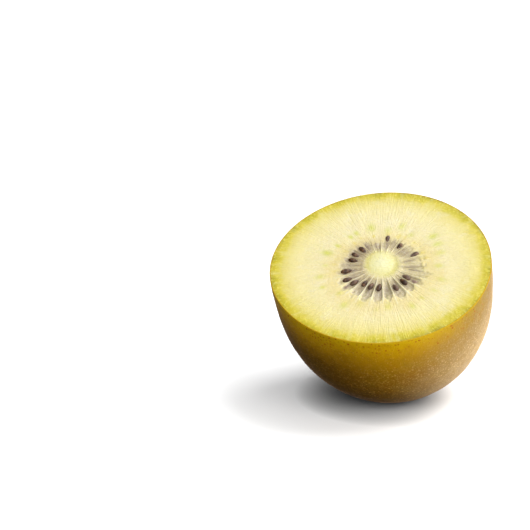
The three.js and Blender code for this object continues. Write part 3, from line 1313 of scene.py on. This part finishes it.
@dataclass(frozen=True)
class Flesh:
    """The flesh inside the skin, with the core, the locules and the vein ends on its cut face."""

    form: FruitForm
    heart: Heart
    face: CutFace
    resting: Resting
    inset: float = 0.22 * MM
    floor_gap: float = 0.1 * MM
    sectors: int = 480
    heart_rings: int = 74
    outer_rings: int = 44
    body_rings: int = 14
    heart_reach: float = 13.0 * MM
    crisp_edge: float = 0.03 * MM
    left_bearing: float = 172.0
    dusk: float = 0.3
    dusk_low: float = 0.54
    dusk_left: float = 0.3
    dusk_play: SmoothNoise = SmoothNoise(9, 2.0 * MM, 0.1)
    dusk_start: Span = (0.08, 0.45)
    dusk_shares: Span = (0.35, 1.0)
    clear_bearing: float = 2.0
    clear_width: float = 25.0
    clear_share: float = 0.18
    tan_start: Span = (1.05, 0.9)
    tan_full: Span = (1.75, 1.45)
    tan_fade: float = 6.8 * MM
    tan_end: Span = (9.4 * MM, 12.0 * MM)
    tan_shares: Span = (0.4, 0.95)
    wall_shares: Span = (0.05, 1.0)
    stain_spread: float = 1.4
    glow_along: Span = (1.1, 0.35)
    gold_shares: Span = (1.0, 0.2)
    fringe_width: float = 0.16
    fringe_bearing: float = -12.0
    fringe_shares: Span = (0.25, 1.0)
    core_reach: float = 1.3

    def face_rings(self) -> np.ndarray:
        """The rings of the cut face, from its middle to the skin.

        Returns:
            Ring by sector by 3 points.
        """
        bearing = full_turn(self.sectors)
        edge = self.form.cut_radius - self.inset
        near = np.linspace(0.0, self.heart_reach, self.heart_rings)
        far = np.linspace(self.heart_reach, edge - self.crisp_edge, self.outer_rings + 1)[1:]
        rings = []
        for radius in [*near, *far, edge]:
            centre = np.array(self.heart.centre) * (1.0 - smoothstep(radius, self.heart.outer_mean, edge))
            across = polar(bearing, self.form.lobed(radius, bearing), centre)
            rings.append(np.column_stack([across, np.zeros(self.sectors)]))
        return np.array(rings)

    def jelly_tones(self, points: np.ndarray) -> dict[str, np.ndarray]:
        """The tones round the heart: dusky below and to the left, and clear to the right.

        A span for the tan goes from its value right of the heart to that left of it. One for the walls or
        the gold goes from its value above the heart to that below it.

        Args:
            points: N by 3 points on the cut face.

        Returns:
            The masks by name.
        """
        bearing, distance = self.face.around_heart(points)
        jelly, wall, along = self.face.jelly(points)
        core = self.face.core_share(points)
        low = facing(bearing, self.heart.low_bearing)
        left = facing(bearing, self.left_bearing)
        dusk = self.dusk + self.dusk_low * low**1.3 + self.dusk_left * left**2 * (1.0 - low)
        dusk += self.dusk_play.at(points)
        dusk -= self.clear_share * hill(bearing, self.clear_bearing, self.clear_width)
        dusk *= between(self.dusk_shares, smoothstep(along, *self.dusk_start))
        tan = smoothstep(core, between(self.tan_start, left), between(self.tan_full, left))
        tan *= 1.0 - smoothstep(distance, self.tan_fade, between(self.tan_end, left))
        sideways = np.cos(np.radians(bearing - self.fringe_bearing)) ** 2
        return {
            "jelly": jelly,
            "wall": wall * between(self.wall_shares, low**3),
            "dusk": np.clip(dusk, 0.0, 1.0),
            "tan": tan * between(self.tan_shares, left),
            "glow": hill(along, *self.glow_along),
            "gold": self.face.vein_ends(points, self.face.inner_veins) * between(self.gold_shares, low),
            "stain": self.face.seed_stain(points) * np.clip(jelly * self.stain_spread, 0.0, 1.0),
            "fringe": hill(core, 1.0, self.fringe_width) * between(self.fringe_shares, sideways),
        }

    def masks(self, points: np.ndarray, on_face: np.ndarray) -> dict[str, np.ndarray]:
        """The masks that tell the material what lies where.

        Args:
            points: N by 3 points in the fruit's own frame.
            on_face: 1 for points of the cut face and 0 for those under it.

        Returns:
            The masks by name.
        """
        bearing, distance = self.face.around_heart(points)
        radius = np.hypot(*points[:, :2].T)
        core = np.clip(self.face.core_share(points), 0.0, self.core_reach) / self.core_reach
        marks = self.jelly_tones(points)
        marks["bundle"] = self.face.vein_ends(points, self.face.outer_veins)
        marks["fibre"] = self.face.fibres(points)
        masks = {name: mark * on_face for name, mark in marks.items()}
        masks["out"] = np.where(on_face > 0, radius / self.form.cut_radius, 1.0)
        masks["ray"] = np.column_stack([polar(bearing, 1.0), distance / self.form.cut_radius])
        masks["core"] = np.where(on_face > 0, core, 1.0)
        return masks

    def build(self) -> bpy.types.Object:
        """Builds the flesh and dresses it.

        Returns:
            The piece.
        """
        face = self.face_rings()
        shares = np.linspace(0.0, 1.0, self.body_rings + 1)[1:]
        under = [self.form.dome(share, full_turn(self.sectors), self.inset) for share in shares]
        points, faces = turned_surface(np.concatenate([face, np.array(under)]))
        on_face = (np.arange(len(points)) < 1 + (len(face) - 1) * self.sectors).astype(float)
        masks = self.masks(points, on_face)
        points[:, 2] += self.face.relief(points) * on_face
        laid = self.resting.lay(points, floor=self.inset + self.floor_gap)
        return make_piece("kiwi_flesh", laid, faces, masks, FleshFinish().make())


@dataclass(frozen=True)
class Seeds:
    """The seeds that the cut laid open, each an ovoid that narrows towards the core."""

    heart: Heart
    resting: Resting
    length: float = 2.4 * MM
    width: float = 1.35 * MM
    height: float = 1.3 * MM
    taper: float = 0.45
    bluntness: float = 0.9
    lift: float = -0.2 * MM
    sunk_lift: float = -0.7 * MM
    rings: int = 17
    sides: int = 22
    random_seed: int = 8
    sizes: Span = (0.88, 1.12)
    turn: Span = (-7.0, 7.0)
    roll: Span = (-0.25, 0.25)
    veil: Span = (0.0, 0.3)
    sunk_veil: Span = (0.45, 0.8)

    def ovoid(self) -> tuple[np.ndarray, Faces]:
        """One seed at the origin, its outer end towards +X.

        Returns:
            Its points and faces.
        """
        turn = np.linspace(0.0, math.pi, self.rings)
        around = np.radians(full_turn(self.sides))
        x = -0.5 * np.cos(turn)[:, None] * np.ones(self.sides)
        wide = 0.5 * np.sin(turn)[:, None] ** self.bluntness * (1.0 - self.taper * (0.5 - x) ** 2)
        y, z = wide * np.cos(around), wide * np.sin(around)
        return turned_surface(np.stack([x * self.length, y * self.width, z * self.height], axis=-1))

    def build(self) -> bpy.types.Object:
        """Builds all the seeds as one piece and dresses them.

        Returns:
            The piece.
        """
        draw = np.random.default_rng(self.random_seed)
        shape, shape_faces = self.ovoid()
        shapes, veil = [], []
        for bearing, radius, sunk in self.heart.seed_places():
            x, y, z = (shape * between(self.sizes, draw.random())).T
            turn = bearing + between(self.turn, draw.random())
            roll = between(self.roll, draw.random())
            y, z = y * math.cos(roll) - z * math.sin(roll), y * math.sin(roll) + z * math.cos(roll)
            x, y = turned_by(-turn, x, y)
            centre = polar(bearing, radius, self.heart.centre)
            lift = self.sunk_lift if sunk else self.lift
            shapes.append((np.column_stack([x + centre[0], y + centre[1], z + lift]), shape_faces))
            veil.append(between(self.sunk_veil if sunk else self.veil, draw.random()))
        points, faces = joined(shapes)
        masks = {"veil": np.repeat(veil, len(shape))}
        laid = self.resting.lay(points)
        return make_piece("kiwi_seeds", laid, faces, masks, SeedFinish().make())


@dataclass(frozen=True)
class Spike:
    """A tapered, bent spike that grows down out of the blossom end."""

    length: float
    root: float
    bend: float
    sides: int
    taper: float = 0.72
    curl: float = 1.6
    sunk_share: float = 0.3
    rings: int = 7

    def shape(
        self, foot: np.ndarray, away: np.ndarray, stretch: float, bent: float
    ) -> tuple[np.ndarray, Faces]:
        """One spike.

        Args:
            foot: Where it is rooted, in the fruit's own frame.
            away: The level direction that it leans and bends to.
            stretch: Its length as a share of the usual.
            bent: How much of the bend it has.

        Returns:
            Its points and faces.
        """
        along = np.linspace(-self.sunk_share, 1.0, self.rings)
        free = np.clip(along, 0.0, 1.0)
        radius = self.root * (1.0 - self.taper * free)
        radius[[0, -1]] = 0.0
        length = self.length * stretch
        middle = foot + np.outer(along * length, [0.0, 0.0, -1.0])
        middle += np.outer(free**self.curl * self.bend * bent * length, away)
        ring = np.column_stack([polar(full_turn(self.sides), 1.0), np.zeros(self.sides)])
        return turned_surface(middle[:, None, :] + radius[:, None, None] * ring[None])


@dataclass(frozen=True)
class BlossomEnd:
    """The dried stubs of the flower's styles, and the bristles round them, in the pit at the far end."""

    form: FruitForm
    resting: Resting
    stub: Spike = Spike(1.5 * MM, 0.26 * MM, 0.55, 8)
    stub_count: int = 7
    stub_ring: float = 1.35 * MM
    stub_turn: Span = (-10.0, 10.0)
    bristle: Spike = Spike(1.1 * MM, 0.07 * MM, 0.9, 5)
    bristle_count: int = 46
    bristle_ring: Span = (0.3 * MM, 2.5 * MM)
    stretch: Span = (0.7, 1.2)
    random_seed: int = 31

    def build(self) -> bpy.types.Object:
        """Builds the stubs and bristles as one piece and dresses them.

        Returns:
            The piece.
        """
        draw = np.random.default_rng(self.random_seed)
        plans = []
        for k in range(self.stub_count):
            bearing = 360.0 / self.stub_count * k + between(self.stub_turn, draw.random())
            plans.append((self.stub, self.stub_ring, bearing))
        for _ in range(self.bristle_count):
            plans.append((self.bristle, between(self.bristle_ring, draw.random()), 360.0 * draw.random()))
        shapes = []
        for spike, ring, bearing in plans:
            away = np.append(polar(bearing, 1.0), 0.0)
            end = np.append(self.form.end_place(), -self.form.cut_to_end - self.form.end_relief(ring))
            stretch = between(self.stretch, draw.random())
            shapes.append(spike.shape(end + away * ring, away, stretch, draw.random()))
        points, faces = joined(shapes)
        laid = self.resting.lay(points, floor=0.0)
        return make_piece("kiwi_blossom_end", laid, faces, {}, StubFinish().make())


# ---- The studio ----


@dataclass(frozen=True)
class Lamp:
    """A soft square lamp that points at the fruit."""

    name: str
    place: Place
    power: float
    size: float
    aim: Place = (0.0, 0.0, 25 * MM)

    def hang(self) -> None:
        """Hangs the lamp."""
        light = bpy.data.lights.new(self.name, "AREA")
        light.energy = self.power
        light.size = self.size
        lamp = placed(self.name, light)
        lamp.location = self.place
        lamp.rotation_euler = (Vector(self.aim) - Vector(self.place)).to_track_quat("-Z", "Y").to_euler()


@dataclass(frozen=True)
class Studio:
    """A pale floor in a surround that is bright above, behind and to the right, and dim in front.

    The floor throws light back up only to the right of the fruit, and has a painted shadow close to it on the
    side that faces away from the lamps.
    """

    lamps: tuple[Lamp, ...] = (
        Lamp("key_lamp", (0.9, 0.6, 1.65), 32.0, 1.4),
        Lamp("side_lamp", (1.55, -0.9, 0.85), 23.0, 1.3),
        Lamp("fill_lamp", (-0.1, -1.6, 0.95), 27.0, 1.2),
    )
    bright_side: Place = (0.62, 0.4, 0.67)
    bright_span: Span = (0.1, 0.9)
    brightness: Span = (0.02, 0.95)
    floor_size: float = 6.0
    floor_patch: Mottle = Mottle(3.0, span=(0.98, 1.0))
    floor_shown: float = 1.0
    bounce_side: Place = (0.97, 0.25, 0.0)
    bounce_reach: Span = (0 * MM, 40 * MM)
    floor_bounce: Span = (0.08, 1.0)
    contact_side: Place = (0.74, 0.3, 0.6)
    contact_reach: float = 8 * MM
    contact_depth: float = 0.9
    contact_samples: int = 12

    def floor_material(self) -> bpy.types.Material:
        """Builds the floor's finish.

        Returns:
            The material.
        """
        material, graph, shader = new_material("pale_floor", "BsdfDiffuse")
        tone = self.floor_patch.tone(graph)
        to_the_right = graph.reach(graph.place(), self.bounce_side)
        bounce = graph.remap(to_the_right, *self.bounce_reach, *self.floor_bounce)
        shown = graph.remap(graph.seen(), *WHOLE, bounce, self.floor_shown)
        # Painted contact shadow: the floor's colour is darkened where the fruit hides the way towards the
        # lamps.
        towards_lamps = graph.output(0, "CombineXYZ", dict(zip("XYZ", self.contact_side)))
        inputs = {"Distance": self.contact_reach, "Normal": towards_lamps}
        open_sky = graph.output("AO", "AmbientOcclusion", inputs, samples=self.contact_samples)
        painted_contact_shadow = graph.math("POWER", open_sky, self.contact_depth)
        graph.feed(shader, {"Color": graph.times(tone, shown, painted_contact_shadow)})
        return material

    def floor(self) -> None:
        """Lays the floor."""
        half = self.floor_size / 2
        corners = [(-half, -half, 0.0), (half, -half, 0.0), (half, half, 0.0), (-half, half, 0.0)]
        mesh = bpy.data.meshes.new("floor")
        mesh.from_pydata(corners, [], [(0, 1, 2, 3)])
        mesh.materials.append(self.floor_material())
        piece = placed("floor", mesh)
        piece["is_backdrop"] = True

    def surroundings(self) -> None:
        """Lights the scene from all round, most from the bright side."""
        world = bpy.data.worlds.new("studio")
        bpy.context.scene.world = world
        world.use_nodes = True
        graph = Graph(world.node_tree)
        way = graph.output("Generated", "TexCoord")
        glow = graph.remap(graph.reach(way, self.bright_side), *self.bright_span, *self.brightness)
        strength = graph.math("MAXIMUM", glow, graph.seen())
        background = graph.output(0, "Background", {"Color": (1.0, 1.0, 1.0, 1.0), "Strength": strength})
        graph.node("OutputWorld", {"Surface": background})

    def build(self) -> None:
        """Builds the studio."""
        bpy.context.scene.view_settings.view_transform = "Standard"
        self.floor()
        self.surroundings()
        for lamp in self.lamps:
            lamp.hang()
        log.info("studio: floor %.1f m wide, %d lamps", self.floor_size, len(self.lamps))


@dataclass(frozen=True)
class View:
    """The camera: low in front of the half, a little to its right, with the half right of the middle."""

    resting: Resting
    azimuth: float = 14.2
    elevation: float = 16.0
    distance: float = 400 * MM
    right_of_middle: float = 27.07 * MM
    above_middle: float = 0.18 * MM
    lens: float = 116.1
    sensor: float = 36.0
    nearest: float = 10 * MM

    def build(self) -> None:
        """Places the camera."""
        turn, rise = math.radians(self.azimuth), math.radians(self.elevation)
        back = Vector((math.sin(turn) * math.cos(rise), -math.cos(turn) * math.cos(rise), math.sin(rise)))
        right = Vector((math.cos(turn), math.sin(turn), 0.0))
        up = back.cross(right)
        data = bpy.data.cameras.new("camera")
        data.lens = self.lens
        data.sensor_width = self.sensor
        data.clip_start = self.nearest
        camera = placed("camera", data)
        place = Vector(self.resting.cut_centre) + back * self.distance
        place -= right * self.right_of_middle + up * self.above_middle
        rotation = Matrix((right, up, back)).transposed().to_4x4()
        camera.matrix_world = Matrix.Translation(place) @ rotation
        bpy.context.scene.camera = camera
        log.info("camera: azimuth %.1f, elevation %.1f", self.azimuth, self.elevation)


def write_sizes(before: tuple[Vector, Vector], after: tuple[Vector, Vector]) -> None:
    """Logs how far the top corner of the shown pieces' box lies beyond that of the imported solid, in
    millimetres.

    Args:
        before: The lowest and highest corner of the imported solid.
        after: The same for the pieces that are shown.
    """
    log.info("box grew by %s mm", [round((b - a) / MM, 2) for a, b in zip(before[1], after[1])])


def main() -> None:
    """Builds the camera, the studio and the fruit in order."""
    logging.basicConfig(level=logging.INFO, format="%(name)s: %(message)s")
    solid_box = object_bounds()
    form = FruitForm()
    heart = Heart()
    resting = Resting()
    View(resting).build()
    Studio().build()
    parts = (
        Skin(form, resting),
        Flesh(form, heart, CutFace(form, heart), resting),
        Seeds(heart, resting),
        BlossomEnd(form, resting),
    )
    for part in parts:
        piece = part.build()
        log.info("%s: %d faces", piece.name, len(piece.data.polygons))
    write_sizes(solid_box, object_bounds())


if __name__ == "__main__":
    main()
